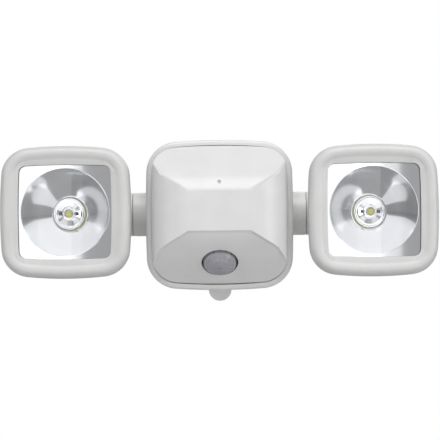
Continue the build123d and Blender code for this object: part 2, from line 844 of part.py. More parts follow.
def elbow():
    """Spigot in the stub, round collar, a body that flattens to a tongue, and the pivot's eye."""
    start = elbow_start()
    collar_end = start + COLLAR_L
    collar = arm_rod(ARM_R, start, collar_end)
    body = fillet(collar.edges().sort_by(Axis.X)[0], ARM_EDGE)
    round_end = arm_plane(collar_end) * RectangleRounded(2 * ARM_R, 2 * ARM_R, ARM_R - RUN)
    tongue = RectangleRounded(2 * EYE_R, TONGUE_H, TONGUE_EDGE)
    body += loft([round_end, arm_plane(taper_end()) * tongue])
    body += extrude(arm_plane(taper_end()) * tongue, head_x() - taper_end())
    low = ARM_Z - TONGUE_H / 2
    body += upright(Circle(EYE_R), low, low + TONGUE_H)
    body -= upright(Circle(PIN_R + RUN), low - 1, low + TONGUE_H + 1)
    body += arm_rod(SPIGOT_R, spigot_end(), start + 1)
    body -= arm_rod(SPIGOT_BORE_R, spigot_end() - 1, collar_end)
    body -= groove(SPIGOT_R - CLIP_GROOVE, clip_back(), clip_back() + CLIP_T)
    half = FRICTION_RING_T / 2
    return body - groove(SPIGOT_R - FRICTION_RING_T, ring_middle() - half, ring_middle() + half)


def friction_ring():
    """Rubber ring in the spigot's front groove."""
    start, end = ring_middle() - FRICTION_RING_T / 2, ring_middle() + FRICTION_RING_T / 2
    return arm_rod(SPIGOT_R, start, end) - arm_rod(SPIGOT_R - FRICTION_RING_T + RUN, start, end)


def clip_back():
    return neck_end() - GAP - CLIP_T


def elbow_clip():
    """Open spring clip in the spigot's groove, behind the stub's end."""
    inner = SPIGOT_R - CLIP_GROOVE + RUN
    ring = arm_rod(CLIP_R, clip_back(), clip_back() + CLIP_T)
    ring -= arm_rod(inner, clip_back() - 1, neck_end())
    gap = Pos(0, -CLIP_R, 0) * Box(SPIGOT_R, 2 * inner, 2 * CLIP_T)
    return ring - arm_plane(clip_back() + CLIP_T / 2) * gap


# ---- lamp heads, drawn for the right-hand side ----
def head_at(depth):
    return at(depth, head_x(), ARM_Z)


def head_outline(depth, inset=0.0):
    return head_at(depth) * bulged(HEAD_W, HEAD_H, HEAD_BULGE, HEAD_CORNER, inset)


def window_outline(depth, inset=0.0):
    return head_at(depth) * bulged(WINDOW_W, WINDOW_H, WINDOW_BULGE, WINDOW_CORNER, inset)


def head_screw_places():
    x = HEAD_W / 2 - HEAD_SCREW_IN[0]
    return four(x, HEAD_H / 2 - HEAD_SCREW_IN[1], head_x(), ARM_Z)


def bezel():
    """Front frame of the head: a rolled rim that slopes in to the window."""
    frame = extrude(head_outline(HEAD_JOINT), HEAD_FRONT - HEAD_JOINT)
    frame = fillet(frame.faces().sort_by(Axis.Y)[0].edges(), BEZEL_ROLL)
    frame -= extrude(head_outline(HEAD_JOINT - 1, WALL), BEZEL_CAVITY + 1)
    for x, z in head_screw_places():
        frame += rod(HEAD_BOSS_R, HEAD_JOINT + GAP, HEAD_JOINT + BEZEL_CAVITY + 1, x, z)
    frame -= extrude(window_outline(HEAD_JOINT - 1, -WINDOW_SEAT - GAP / 2), WINDOW_FRONT - HEAD_JOINT + 1)
    for x, z in head_screw_places():
        frame -= rod(SCREW_R, HEAD_JOINT, HEAD_SCREW_SEAT + HEAD_SCREW_L + 1, x, z)
    bevel = [window_outline(HEAD_FRONT - BEVEL_DEEP), window_outline(HEAD_FRONT, -BEVEL_W)]
    frame -= loft(bevel, ruled=True)
    return frame - extrude(window_outline(HEAD_JOINT), HEAD_FRONT - HEAD_JOINT)


def window():
    return extrude(window_outline(WINDOW_FRONT - WINDOW_T, -WINDOW_SEAT), WINDOW_T)


def gasket_back():
    return WINDOW_FRONT - WINDOW_T - GASKET_T


def window_gasket():
    back = gasket_back()
    inner = window_outline(back, GASKET_W - WINDOW_SEAT)
    return extrude(window_outline(back, -WINDOW_SEAT) - inner, GASKET_T)


def neck_front():
    return HEAD_BACK + WALL + SINK_T + LED_BOARD_T + REFLECTOR_NECK_L


def bowl_curve(extra):
    """Parabola from the reflector's neck to its rim, as radius and depth."""
    rim = gasket_back()
    rise = (rim - neck_front()) / (REFLECTOR_R**2 - NECK_HOLE_R**2)
    start = (NECK_HOLE_R + extra, neck_front())
    lift = rise * NECK_HOLE_R * (REFLECTOR_R - NECK_HOLE_R)
    pull = ((NECK_HOLE_R + REFLECTOR_R) / 2 + extra, neck_front() + lift)
    return Bezier(start, pull, (REFLECTOR_R + extra, rim))


def reflector():
    """Parabolic bowl in a square flange."""
    inner, outer = bowl_curve(0), bowl_curve(REFLECTOR_T)
    low = neck_front() - REFLECTOR_NECK_L
    neck = [(NECK_HOLE_R, neck_front()), (NECK_HOLE_R, low)]
    neck += [(NECK_HOLE_R + REFLECTOR_T, low), (NECK_HOLE_R + REFLECTOR_T, neck_front())]
    edges = [Line(a, b) for a, b in zip(neck, neck[1:])]
    face = make_face([inner, *edges, outer, Line(inner @ 1, outer @ 1)])
    bowl = head_at(0) * revolve(Plane.XZ * face, Axis.Z)
    back = gasket_back() - REFLECTOR_T
    flange = extrude(window_outline(back, -WINDOW_SEAT), REFLECTOR_T)
    mouth = rod(REFLECTOR_R + REFLECTOR_T / 2, back - 1, back + 2 * REFLECTOR_T, head_x(), ARM_Z)
    return flange - mouth + bowl


def led_board_back():
    return HEAD_BACK + WALL + SINK_T


def led_board():
    return rod(LED_BOARD_R, led_board_back(), led_board_back() + LED_BOARD_T, head_x(), ARM_Z)


def led():
    """Light source: round base, square chip and clear dome."""
    base = led_board_back() + LED_BOARD_T
    top = base + LED_BASE_T
    chip = extrude(head_at(top) * Rectangle(LED_CHIP_W, LED_CHIP_W), LED_CHIP_T)
    ball = head_at(top) * Sphere(LED_DOME_R)
    dome = ball & rod(LED_DOME_R + 1, top, top + 2 * LED_DOME_R, head_x(), ARM_Z)
    return rod(LED_BASE_R, base, top, head_x(), ARM_Z) + chip + dome


def heat_sink():
    """Aluminium disc with radial fins round the reflector's neck."""
    back = HEAD_BACK + WALL
    sink = rod(SINK_R, back, back + SINK_T, head_x(), ARM_Z)
    for turn in range(FIN_COUNT):
        fin = Box(SINK_R - FIN_IN - GAP, FIN_T, SINK_T + FIN_H)
        fin = Pos((FIN_IN + SINK_R) / 2, 0, (SINK_T + FIN_H) / 2) * fin
        sink += head_at(back) * Rot(0, 0, 360 / FIN_COUNT * turn) * fin
    return sink


def head_bowl(inset=0.0, extra=0.0):
    """The head shell's form: a rounded square that opens in two steps towards the bezel."""
    base = bulged(HEAD_BACK_W, HEAD_BACK_W, HEAD_BACK_BULGE, HEAD_BACK_CORNER, inset)
    sections = [head_at(HEAD_BACK + inset) * base]
    sections.append(head_outline(WAIST_DEPTH, WAIST_INSET + inset))
    sections.append(head_outline(HEAD_JOINT, SHELL_INSET + inset))
    bowl = loft(sections, ruled=True)
    return bowl + extrude(sections[-1], extra) if extra else bowl


def head_shell():
    """Back of the head, with corner screw lugs and the two ears of the pivot."""
    outer = head_bowl()
    shell = fillet(outer.faces().sort_by(Axis.Y)[-1].edges(), HEAD_BACK_EDGE)
    shell -= head_bowl(WALL, 1.0)
    for x, z in head_screw_places():
        shell += rod(HEAD_LUG_R, HEAD_LUG_BACK, HEAD_JOINT, x, z)
    for x, z in head_screw_places():
        shell -= rod(SCREW_HEAD_R + GAP, HEAD_BACK, HEAD_SCREW_SEAT, x, z)
        shell -= rod(SCREW_R + GAP / 2, HEAD_BACK, HEAD_JOINT + 1, x, z)
    reach = HEAD_BACK - ARM_DEPTH + WALL / 2
    ear = Circle(EAR_R) + Rectangle(2 * EAR_R, reach, align=(Align.CENTER, Align.MAX)) - Circle(PIN_R + RUN)
    inner = TONGUE_H / 2 + GAP
    for low in (ARM_Z + inner, ARM_Z - inner - EAR_T):
        shell += upright(ear, low, low + EAR_T)
    return shell


def ear_outside():
    return TONGUE_H / 2 + GAP + EAR_T


def pivot_bolt():
    bottom = ARM_Z - ear_outside() - PIVOT_NUT_T
    top = ARM_Z + ear_outside()
    head = fillet(upright(Circle(BOLT_HEAD_R), top, top + BOLT_HEAD_T).edges().sort_by(Axis.Z)[-1], ARM_EDGE)
    drive = upright(RegularPolygon(PIN_R - GAP, 6), top + BOLT_HEAD_T / 3, top + BOLT_HEAD_T + 1)
    return upright(Circle(PIN_R), bottom, top) + head - drive


def pivot_nut():
    top = ARM_Z - ear_outside()
    return upright(RegularPolygon(PIVOT_NUT_R, 6) - Circle(PIN_R), top - PIVOT_NUT_T, top)


def build():
    os.makedirs(PARTS, exist_ok=True)
    save("mounting_plate", mounting_plate())
    save("release_tab", release_tab())

    save("rear_housing", rear_housing())
    save("front_shell", front_shell())
    save("housing_seal", housing_seal())
    save("housing_screws", *[screw(well_floor(), HOUSING_SCREW_L, x, z) for x, z in well_places()])

    save("battery_cap", battery_cap())
    save("cap_seal", cap_seal())
    save("contact_carrier", contact_carrier())
    save("contact_springs", *[contact_spring(x, z) for x, z in cell_places()])
    for number, (x, z) in enumerate(cell_places(), start=1):
        save(f"battery_cell_{number}", cell(x, z))
    save("cell_contacts", cell_contact(-cell_centre()), cell_contact(cell_centre()))

    save("main_board", main_board())
    save("board_screws", *[board_screw(x, z) for x, z in board_places()])
    save("sensor_lens", sensor_lens())
    save("lens_seal", lens_seal())
    save("sensor_cup", sensor_cup())
    save("sensor_board", sensor_board())
    save("sensor_can", sensor_can())
    save("light_pipe", light_pipe())

    save_pair("arm_stub", arm_stub())
    save_pair("stub_nut", stub_nut())
    save_pair("elbow", elbow())
    save_pair("friction_ring", friction_ring())
    save_pair("elbow_clip", elbow_clip())

    save_pair("bezel", bezel())
    save_pair("window", window())
    save_pair("window_gasket", window_gasket())
    save_pair("reflector", reflector())
    save_pair("led", led())
    save_pair("led_board", led_board())
    save_pair("heat_sink", heat_sink())
    save_pair("head_shell", head_shell())
    save_pair("head_screws", *[screw(HEAD_SCREW_SEAT, HEAD_SCREW_L, x, z) for x, z in head_screw_places()])
    save_pair("pivot_bolt", pivot_bolt())
    save_pair("pivot_nut", pivot_nut())


def board_screw(x, z):
    """Screw driven from the front, into a post on the tub's floor."""
    front = board_front()
    shank = rod(SCREW_R, front - BOARD_SCREW_L, front, x, z)
    head = rod(SCREW_HEAD_R, front, front + SCREW_HEAD_T, x, z)
    drive = extrude(at(front + SCREW_HEAD_T - DRIVE_DEEP, x, z) * RegularPolygon(DRIVE_R, 6), DRIVE_DEEP)
    return shank + head - drive


if __name__ == "__main__":
    build()
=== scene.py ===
import json
from math import asin, atan2, cos, hypot, pi, radians, sin, sqrt, tan

import bmesh
import bpy
from mathutils import Matrix, Vector


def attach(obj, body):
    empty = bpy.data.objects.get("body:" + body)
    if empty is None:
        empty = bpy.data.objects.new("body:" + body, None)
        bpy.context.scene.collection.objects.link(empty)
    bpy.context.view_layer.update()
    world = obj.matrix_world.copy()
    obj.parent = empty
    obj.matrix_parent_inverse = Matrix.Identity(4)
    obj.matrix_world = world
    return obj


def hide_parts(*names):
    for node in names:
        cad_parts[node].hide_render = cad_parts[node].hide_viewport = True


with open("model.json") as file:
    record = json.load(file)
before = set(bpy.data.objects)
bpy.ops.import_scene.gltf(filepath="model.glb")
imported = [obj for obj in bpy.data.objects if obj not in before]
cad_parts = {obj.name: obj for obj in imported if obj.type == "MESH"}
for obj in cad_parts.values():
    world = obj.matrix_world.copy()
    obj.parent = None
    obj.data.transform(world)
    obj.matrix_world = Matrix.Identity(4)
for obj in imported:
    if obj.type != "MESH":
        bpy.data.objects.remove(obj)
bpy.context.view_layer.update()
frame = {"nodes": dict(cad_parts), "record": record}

MM = 0.001

# ---- camera, floor and light, in metres ----
CAMERA_PLACE = (0.0, -1.355, -0.045)
CAMERA_TURN = (91.84, 0.45, 0.0)  # degrees: almost level, looking slightly up
FOCAL_LENGTH, SENSOR_WIDTH = 133.4, 36.0  # millimetres
SKY_LOW, SKY_HIGH = 0.24, 0.40  # the backdrop's light from straight below and from straight above
FLOOR_PLACE, FLOOR_HALF = (0.0, -0.9, -0.3), 1.6
FLOOR_GREY = (0.5, 0.5, 0.5, 1)
HEAD_X = 0.118  # of a lamp head's middle, to either side


def place_camera():
    """The photograph's view: level with the body's lower half, looking slightly up."""
    lens = bpy.data.cameras.new("camera")
    lens.lens, lens.sensor_width = FOCAL_LENGTH, SENSOR_WIDTH
    lens.clip_start, lens.clip_end = 0.01, 50.0
    camera = bpy.data.objects.new("camera", lens)
    camera.location = CAMERA_PLACE
    camera.rotation_euler = [radians(angle) for angle in CAMERA_TURN]
    bpy.context.scene.collection.objects.link(camera)
    bpy.context.scene.camera = camera


def white_world():
    """Even white backdrop for the camera; the light it gives is softer and fades towards the floor."""
    world = bpy.data.worlds.new("studio")
    bpy.context.scene.world = world
    world.use_nodes = True
    tree = world.node_tree
    tree.nodes.clear()
    place = tree.nodes.new("ShaderNodeTexCoord")
    split = tree.nodes.new("ShaderNodeSeparateXYZ")
    fade = tree.nodes.new("ShaderNodeMapRange")
    for socket, number in (("From Min", -1.0), ("From Max", 1.0), ("To Min", SKY_LOW), ("To Max", SKY_HIGH)):
        fade.inputs[socket].default_value = number
    glow = tree.nodes.new("ShaderNodeBackground")
    backdrop = tree.nodes.new("ShaderNodeBackground")
    backdrop.inputs["Color"].default_value = (1, 1, 1, 1)
    backdrop.inputs["Strength"].default_value = 1.0
    path = tree.nodes.new("ShaderNodeLightPath")
    choose = tree.nodes.new("ShaderNodeMixShader")
    out = tree.nodes.new("ShaderNodeOutputWorld")
    links = tree.links
    links.new(place.outputs["Generated"], split.inputs["Vector"])
    links.new(split.outputs["Z"], fade.inputs["Value"])
    links.new(fade.outputs["Result"], glow.inputs["Strength"])
    links.new(path.outputs["Is Camera Ray"], choose.inputs["Fac"])
    links.new(glow.outputs[0], choose.inputs[1])
    links.new(backdrop.outputs[0], choose.inputs[2])
    links.new(choose.outputs[0], out.inputs["Surface"])


def lay_floor():
    """Plain pale floor under the lamp."""
    bm = bmesh.new()
    bmesh.ops.create_grid(bm, x_segments=1, y_segments=1, size=FLOOR_HALF)
    bmesh.ops.translate(bm, verts=bm.verts, vec=FLOOR_PLACE)
    mesh = bpy.data.meshes.new("floor")
    bm.to_mesh(mesh)
    bm.free()
    floor = bpy.data.objects.new("floor", mesh)
    bpy.context.scene.collection.objects.link(floor)
    paint = bpy.data.materials.new("floor_paint")
    paint.use_nodes = True
    shader = paint.node_tree.nodes["Principled BSDF"]
    shader.inputs["Base Color"].default_value = FLOOR_GREY
    shader.inputs["Roughness"].default_value = 0.8
    mesh.materials.append(paint)


def softbox(name, place, aim, size, glow, roll=0.0):
    """Rectangular light whose glow is the same whatever its size."""
    lamp = bpy.data.lights.new(name, "AREA")
    lamp.shape = "RECTANGLE"
    lamp.size, lamp.size_y = size
    lamp.energy = glow * pi * size[0] * size[1]
    light = bpy.data.objects.new(name, lamp)
    light.location = place
    facing = (Vector(aim) - Vector(place)).to_track_quat("-Z", "Y").to_matrix()
    light.rotation_euler = (facing @ Matrix.Rotation(radians(roll), 3, "Z")).to_euler()
    light.visible_camera = False
    bpy.context.scene.collection.objects.link(light)


def light_studio():
    """Large lights shape the body; the small ones are there for the bowls, which mirror them."""
    softbox("main", (0.12, -0.72, 1.31), (0, -0.1, 0), (1.3, 0.9), 3.85)
    softbox("shade", (-0.15, -1.35, 0.05), (-0.12, 0, 0), (0.15, 0.4), 0.1)
    softbox("shade", (0.32, -1.35, 0.05), (0.12, 0, 0), (0.15, 0.4), 0.1)
    softbox("behind", (0, -1.55, 0), (0, 0, 0), (0.24, 0.6), 1.1)
    softbox("left_side", (-1.25, -0.8, 0.15), (0, 0, 0), (0.7, 0.8), 1.5)
    softbox("right_side", (1.25, -0.8, 0), (0, 0, 0), (0.7, 0.8), 3.0)
    softbox("floor_card", (0, -0.95, -0.285), (0, -0.95, 0), (1.2, 1.1), 0.52)
    softbox("back_fill", (0.3, 1.4, 0.8), (0, 0, 0), (1.2, 0.9), 0.8)
    softbox("top_strip", (0, -0.6, 0.37), (0, 0, 0), (0.5, 0.12), 0.4)
    for side, near in ((-1, -0.31), (1, 0.16)):
        head = (HEAD_X * side, 0, 0)
        other_head = (-HEAD_X * side, 0, 0)
        softbox("wing", (0.35 * side, -0.6, 0.215), head, (0.34, 0.20), 0.5, 38 * side)
        softbox("inner", (0.17 * side, -0.6, 0.02), other_head, (0.05, 0.30), 0.45)
        softbox("near", (near, -1.34, 0.05), head, (0.17, 0.4), 0.85)


# ---- materials ----
# Moulded, coated and printed pieces: colour and roughness
MOULDED = {
    "grey_plastic": ((0.74, 0.74, 0.74), 0.34),
    # A darker copy of the grey plastic for the heads, darkened where they came out too bright under the
    # lights: painted shade.
    "head_plastic_painted_shade": ((0.66, 0.66, 0.655), 0.42),
    # A lighter copy of the grey plastic for the arms, lightened to lift the shade on them: painted light.
    "arm_plastic_painted_light": ((0.82, 0.815, 0.80), 0.38),
    "bracket_plastic": ((0.80, 0.80, 0.79), 0.4),
    "inner_plastic": ((0.05, 0.05, 0.055), 0.5),
    "sensor_plastic": ((0.37, 0.365, 0.40), 0.22),
    "ceramic_white": ((0.88, 0.88, 0.86), 0.4),
    "pipe_grey": ((0.45, 0.45, 0.46), 0.3),
    "rubber": ((0.025, 0.025, 0.027), 0.7),
    "board_green": ((0.02, 0.16, 0.07), 0.35),
    "led_yellow": ((1.0, 0.96, 0.16), 0.4),
    "cell_jacket": ((0.03, 0.03, 0.035), 0.3),
}
# Metals: colour, the scale of their grain, and the roughness that it varies between
METALS = {
    "screw_steel": ((0.62, 0.62, 0.63), 700.0, 0.22, 0.38),
    "sink_aluminium": ((0.78, 0.79, 0.80), 500.0, 0.3, 0.5),
    "contact_brass": ((0.80, 0.62, 0.32), 500.0, 0.2, 0.4),
}
# Nodes whose finish isn't their slot's, by the end of their name
OWN_FINISH = {
    "_led_board": "ceramic_white",
    "light_pipe": "pipe_grey",
    # The arm stubs, elbows and clips take the lightened copy of the grey plastic: painted light.
    "_arm_stub": "arm_plastic_painted_light",
    "_elbow": "arm_plastic_painted_light",
    "_elbow_clip": "arm_plastic_painted_light",
    # The head shells take the darkened copy of the grey plastic: painted shade.
    "_head_shell": "head_plastic_painted_shade",
}
MOTTLE_SCALE, SHEEN_SCALE, GRAIN_SCALE = 60.0, 900.0, 2600.0  # of the noise on moulded plastic
MOTTLE = 0.02
GRAIN_H = 0.00006
SHARP_EDGE = radians(32)
MERGE_GAP = 0.00001


class Finish:
    """A principled material whose patterns read the piece's own place."""

    def __init__(self, name, colour, roughness, **sockets):
        self.material = bpy.data.materials.new(name)
        self.material.use_nodes = True
        self.tree = self.material.node_tree
        self.shader = self.tree.nodes["Principled BSDF"]
        self.place = self.add("ShaderNodeTexCoord").outputs["Object"]
        self.shader.inputs["Base Color"].default_value = (*colour, 1)
        self.shader.inputs["Roughness"].default_value = roughness
        for socket, value in sockets.items():
            self.shader.inputs[socket.replace("_", " ")].default_value = value

    def add(self, kind, **inputs):
        """New node of a kind, with values for its inputs."""
        node = self.tree.nodes.new(kind)
        for name, value in inputs.items():
            node.inputs[name].default_value = value
        return node

    def link(self, source, target):
        self.tree.links.new(source, target)

    def noise(self, scale, detail=2.0):
        node = self.add("ShaderNodeTexNoise", Scale=scale, Detail=detail)
        self.link(self.place, node.inputs["Vector"])
        return node.outputs["Fac"]

    def between(self, noise, low, high):
        """Spreads the noise's middle part over the range from low to high."""
        limits = {"From Min": 0.3, "From Max": 0.7, "To Min": low, "To Max": high}
        node = self.add("ShaderNodeMapRange", **limits)
        self.link(noise, node.inputs["Value"])
        return node.outputs["Result"]

    def mottle(self, noise, first, second):
        """Wanders between two colours."""
        mix = self.tree.nodes.new("ShaderNodeMix")
        mix.data_type = "RGBA"
        mix.inputs[6].default_value = (*first, 1)
        mix.inputs[7].default_value = (*second, 1)
        self.link(self.between(noise, 0.0, 1.0), mix.inputs["Factor"])
        self.link(mix.outputs[2], self.shader.inputs["Base Color"])

    def rough(self, noise, low, high):
        self.link(self.between(noise, low, high), self.shader.inputs["Roughness"])

    def bump(self, noise, strength, distance):
        node = self.add("ShaderNodeBump", Strength=strength, Distance=distance)
        self.link(noise, node.inputs["Height"])
        self.link(node.outputs["Normal"], self.shader.inputs["Normal"])


def moulded(name, colour, roughness):
    """Moulded plastic: very slight mottling, and the fine spark-eroded grain of the mould."""
    finish = Finish(name, colour, roughness)
    darker = [channel * (1 - MOTTLE) for channel in colour]
    lighter = [min(1, channel * (1 + MOTTLE)) for channel in colour]
    finish.mottle(finish.noise(MOTTLE_SCALE), darker, lighter)
    finish.rough(finish.noise(SHEEN_SCALE), roughness - 0.04, roughness + 0.05)
    finish.bump(finish.noise(GRAIN_SCALE, 3.0), 0.12, GRAIN_H)
    return finish.material


def metal(name, colour, grain, low, high):
    """Bare metal with a fine grain in its sheen."""
    finish = Finish(name, colour, (low + high) / 2, Metallic=1.0)
    finish.rough(finish.noise(grain), low, high)
    return finish.material


def make_materials():
    """The materials by name; the slots of the model's own nodes are among them."""
    made = {name: moulded(name, *settings) for name, settings in MOULDED.items()}
    made |= {name: metal(name, *settings) for name, settings in METALS.items()}
    clear = Finish("clear_plastic", (1.0, 1.0, 1.0), 0.0, Transmission_Weight=1.0, IOR=1.49)
    made["clear_plastic"] = clear.material
    mirror = Finish("mirror_metal", (0.93, 0.94, 0.96), 0.06, Metallic=1.0)
    mirror.bump(mirror.noise(40.0), 0.012, 0.0003)
    made["mirror_metal"] = mirror.material
    return made


def even_shading():
    """Modifier group for the model's own nodes: joins their loose triangles, with only real edges sharp."""
    group = bpy.data.node_groups.new("even_shading", "GeometryNodeTree")
    for way in ("INPUT", "OUTPUT"):
        group.interface.new_socket("Geometry", in_out=way, socket_type="NodeSocketGeometry")
    start = group.nodes.new("NodeGroupInput")
    merge = group.nodes.new("GeometryNodeMergeByDistance")
    merge.inputs["Distance"].default_value = MERGE_GAP
    faces = group.nodes.new("GeometryNodeSetShadeSmooth")
    faces.domain = "FACE"
    edges = group.nodes.new("GeometryNodeSetShadeSmooth")
    edges.domain = "EDGE"
    edges.inputs["Shade Smooth"].default_value = False
    angle = group.nodes.new("GeometryNodeInputMeshEdgeAngle")
    above = group.nodes.new("FunctionNodeCompare")
    above.data_type, above.operation = "FLOAT", "GREATER_THAN"
    above.inputs[1].default_value = SHARP_EDGE
    end = group.nodes.new("NodeGroupOutput")
    links = group.links
    links.new(start.outputs[0], merge.inputs["Geometry"])
    links.new(merge.outputs[0], faces.inputs["Geometry"])
    links.new(faces.outputs[0], edges.inputs["Geometry"])
    links.new(angle.outputs["Unsigned Angle"], above.inputs[0])
    links.new(above.outputs[0], edges.inputs["Selection"])
    links.new(edges.outputs[0], end.inputs[0])
    return group


def dress_nodes():
    """Each of the model's nodes gets the material of its slot, or its own finish, and even shading."""
    group = even_shading()
    for part in frame["record"]["subparts"]:
        node = frame["nodes"][part["node"]]
        node.data.materials.clear()
        own = [finish for ending, finish in OWN_FINISH.items() if part["node"].endswith(ending)]
        node.data.materials.append(materials[own[0] if own else part["material_slot"]])
        shading = node.modifiers.new("even_shading", "NODES")
        shading.node_group = group
        weights = node.modifiers.new("flat_faces", "WEIGHTED_NORMAL")
        weights.keep_sharp = True


# ---- shapes, in millimetres; a depth is how far a point stands out from the wall ----
SIDE_STEPS, CORNER_STEPS = 8, 10  # of half a bowed side, and of a round corner


def keep(bm, name, body, slot, replaced, material=None, sharp=30.0):
    """Turns a bmesh in millimetres into a piece that rides on its body."""
    bmesh.ops.scale(bm, vec=(MM, MM, MM), verts=bm.verts)
    bmesh.ops.remove_doubles(bm, verts=bm.verts, dist=0.000002)
    bmesh.ops.recalc_face_normals(bm, faces=bm.faces)
    for face in bm.faces:
        face.smooth = True
    for edge in bm.edges:
        edge.smooth = len(edge.link_faces) == 2 and edge.calc_face_angle() < radians(sharp)
    mesh = bpy.data.meshes.new(name)
    bm.to_mesh(mesh)
    bm.free()
    piece = bpy.data.objects.new(name, mesh)
    bpy.context.scene.collection.objects.link(piece)
    mesh.materials.append(materials[material or slot])
    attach(piece, body)
    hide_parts(*replaced)


def outline(bm, width, height, bulge, corner, depth, centre=(0.0, 0.0), inset=0.0, steps=CORNER_STEPS):
    """Upright face with bowed sides and round corners that run into them, at a depth from the wall."""
    half = (width / 2 - bulge[0], height / 2 - bulge[1])
    side = [(half[1 - k] ** 2 + bulge[k] ** 2) / (2 * bulge[k]) for k in (0, 1)]  # radii of the bowed sides
    a, b = width / 2 - side[0], height / 2 - side[1]  # their centres lie at (a, 0) and (0, b)
    gap = hypot(a, b)
    along = ((side[0] - corner) ** 2 - (side[1] - corner) ** 2 + gap * gap) / (2 * gap)
    across = sqrt((side[0] - corner) ** 2 - along * along)
    cx, cz = a - (along * a + across * b) / gap, (along * b - across * a) / gap  # the corner's centre
    low, high = atan2(cz, cx - a), atan2(cz - b, cx)  # where the corner starts and ends
    quarter = [
        ((a, 0.0), side[0], 0.0, low, SIDE_STEPS),
        ((cx, cz), corner, low, high, steps),
        ((0.0, b), side[1], high, pi / 2, SIDE_STEPS),
    ]
    points = []
    for (px, pz), radius, start, end, count in quarter:
        for step in range(count):
            angle = start + (end - start) * step / count
            points.append((px + (radius - inset) * cos(angle), pz + (radius - inset) * sin(angle)))
    points.append((0.0, height / 2 - inset))
    upper = points + [(-x, z) for x, z in points[-2::-1]]
    loop = upper + [(x, -z) for x, z in upper[-2:0:-1]]
    return bm.faces.new([bm.verts.new((centre[0] + x, -depth, centre[1] + z)) for x, z in loop])


def open_outline(bm, *settings):
    """Edges of an outline without its face."""
    face = outline(bm, *settings)
    edges = list(face.edges)
    bmesh.ops.delete(bm, geom=[face], context="FACES_ONLY")
    return edges


def cut(bm, planes):
    """Cuts faces along planes, each a point and a normal, and keeps both halves."""
    for point, normal in planes:
        geom = list(bm.verts) + list(bm.edges) + list(bm.faces)
        bmesh.ops.bisect_plane(bm, geom=geom, dist=0.001, plane_co=point, plane_no=normal)


def worked(bm, *steps):
    """The bmesh after modifiers are applied to it; each step is a modifier's kind and settings."""
    mesh = bpy.data.meshes.new("blank")
    bm.to_mesh(mesh)
    bm.free()
    blank = bpy.data.objects.new("blank", mesh)
    bpy.context.scene.collection.objects.link(blank)
    for kind, settings in steps:
        modifier = blank.modifiers.new(kind.lower(), kind)
        for name, value in settings.items():
            setattr(modifier, name, value)
    result = bmesh.new()
    result.from_object(blank, bpy.context.evaluated_depsgraph_get())
    bpy.data.objects.remove(blank)
    bpy.data.meshes.remove(mesh)
    return result


# ---- lamp heads: modelled on the right, and mirrored for the left ----
HEAD = (100.0, 102.0, (2.5, 4.0), 22.0)  # width, height, bulge of its sides and of its top, corner radius
WINDOW = (70.6, 71.3, (0.8, 0.8), 5.0)
HEAD_CENTRE = (118.4, 2.0)
HEAD_JOINT, HEAD_FRONT = 92.0, 112.0
ROLL_H, ROLL_OUT, ROLL_IN, ROLL_DIP = 8.5, 5.2, 4.4, 1.5  # the bezel's roll, outside and inside its crest
JOINT_EDGE = 0.4  # rounding where the bezel meets the head shell
BEZEL_WALL, BEZEL_CAVITY = 2.6, 101.0
WINDOW_FRONT, WINDOW_ROOM = 109.22, -2.1  # a negative inset lies outside the window's edge
# Depth and inset of the ledge that leads from the roll to the window
LEDGE = ((110.25, -4.3), (110.1, -0.9), (109.95, -0.6), (109.5, -0.5), (WINDOW_FRONT, -0.5))

BOWL_NECK, BOWL_RIM = 8.3, 33.7  # radii
BOWL_FLOOR, BOWL_BRIM, FLANGE = 73.6, 106.2, 106.24  # depths
FLANGE_INSET = -1.9
BOWL_STEPS = 40
NECK_SLOPE, RIM_SLOPE = 53.6, 50.6  # degrees
SEAT_R = 4.8  # the neck's shallow cone starts here, round the LED
COLLAR = ((3.6, 76.0), (3.7, 76.3), (4.0, 76.3))  # radius and depth
RIM_LIP = ((33.95, 105.95), (34.2, FLANGE))
MIRROR_T = 1.0

# Radius and depth of the LED's base, from its axis out and back in
LED_BASE = ((0.0, 73.0), (3.5, 73.0), (3.5, 75.85), (3.3, 75.9), (2.9, 74.3), (0.0, 74.3))
LED_CHIP, CHIP_DEPTH, CHIP_EDGE = (4.4, 0.4, 4.4), 74.5, 0.12
LED_TAB, TAB_OUT, TAB_DEPTH, TAB_EDGE = (2.8, 0.5, 2.6), 6.4, 74.3, 0.2
TAB_TILT = radians(20)


def turned(bm, profile, steps=96):
    """Spins a profile of radius and depth round the head's axis."""
    x, z = HEAD_CENTRE
    verts = [bm.verts.new((x + radius, -depth, z)) for radius, depth in profile]
    edges = [bm.edges.new(pair) for pair in zip(verts, verts[1:])]
    bmesh.ops.spin(bm, geom=verts + edges, cent=(x, 0, z), axis=(0, 1, 0), angle=2 * pi, steps=steps,
                   use_merge=True)


def block(bm, size, place):
    """Adds a box of a size, at a place and turn."""
    bmesh.ops.create_cube(bm, size=1.0, matrix=place @ Matrix.Diagonal((*size, 1)))


def round_edges(bm, radius):
    """Rounds every edge."""
    bmesh.ops.bevel(bm, geom=list(bm.edges), offset=radius, affect="EDGES", segments=2, profile=0.5,
                    material=-1)


def keep_on_head(bm, side, name, slot, replaced, material=None, sharp=30.0):
    """Keeps a piece of the right head, or its mirror image on the left."""
    hand = "right" if side > 0 else "left"
    bmesh.ops.scale(bm, vec=(side, 1, 1), verts=bm.verts)
    keep(bm, f"{hand}_{name}", f"{hand}_head", slot, [f"{hand}_{replaced}"], material, sharp)


